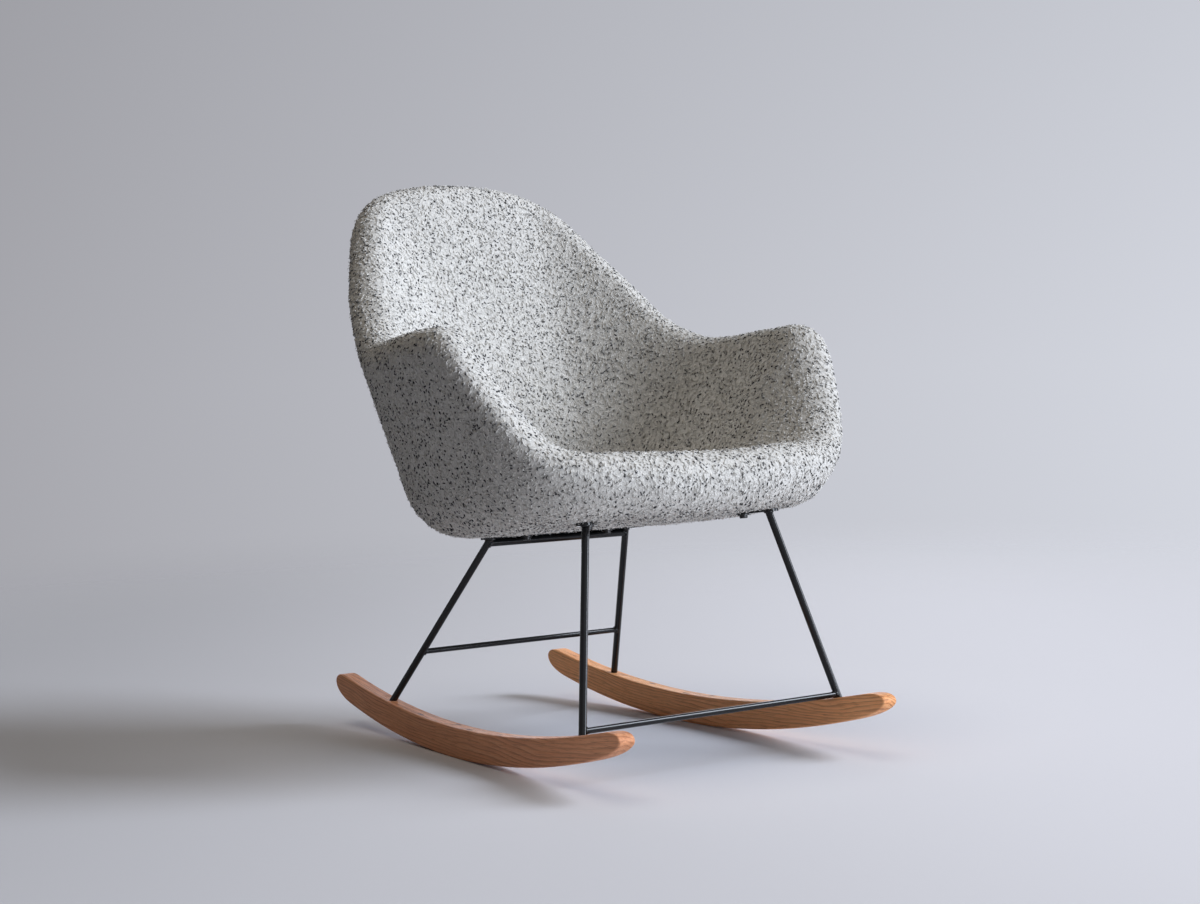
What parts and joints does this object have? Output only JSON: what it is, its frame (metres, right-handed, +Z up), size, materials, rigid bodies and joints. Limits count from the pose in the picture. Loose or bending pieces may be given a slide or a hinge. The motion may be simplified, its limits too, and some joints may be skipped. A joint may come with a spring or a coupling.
{
  "type": "upholstered rocking chair",
  "caption": "Upholstered bucket rocking chair: one padded shell with low arms in flecked boucle on a black steel rod base with curved oak rockers.",
  "frame": {"origin": "on the floor, midway between the two rockers and midway along their length", "axes": "+Z up, +X to the sitter's left, the chair faces -Y"},
  "size_m": [0.6494, 0.7582, 0.7986],
  "materials": {
    "boucle": "matte",
    "foam": "matte",
    "shell": "matte",
    "black_steel": "satin",
    "dark_steel": "satin",
    "rubber": "matte",
    "oak": "satin"
  },
  "bodies": {
    "root": {"inner_cover": "boucle", "outer_cover": "boucle", "seat_foam": "foam", "left_arm_foam": "foam", "right_arm_foam": "foam", "back_foam": "foam", "outer_foam": "foam", "seat_shell": "shell", "t_nuts": "dark_steel", "seat_bolts": "dark_steel", "bolt_washers": "dark_steel", "rubber_spacers": "rubber", "front_leg_plates": "black_steel", "rear_mount_strip": "black_steel", "rear_cross_bar": "black_steel", "left_front_leg": "black_steel", "right_front_leg": "black_steel", "left_rear_leg": "black_steel", "right_rear_leg": "black_steel", "front_stretcher": "black_steel", "rear_stretcher": "black_steel", "left_rocker": "oak", "right_rocker": "oak", "rocker_nuts": "dark_steel", "rocker_washers": "dark_steel"}
  },
  "joints": []
}
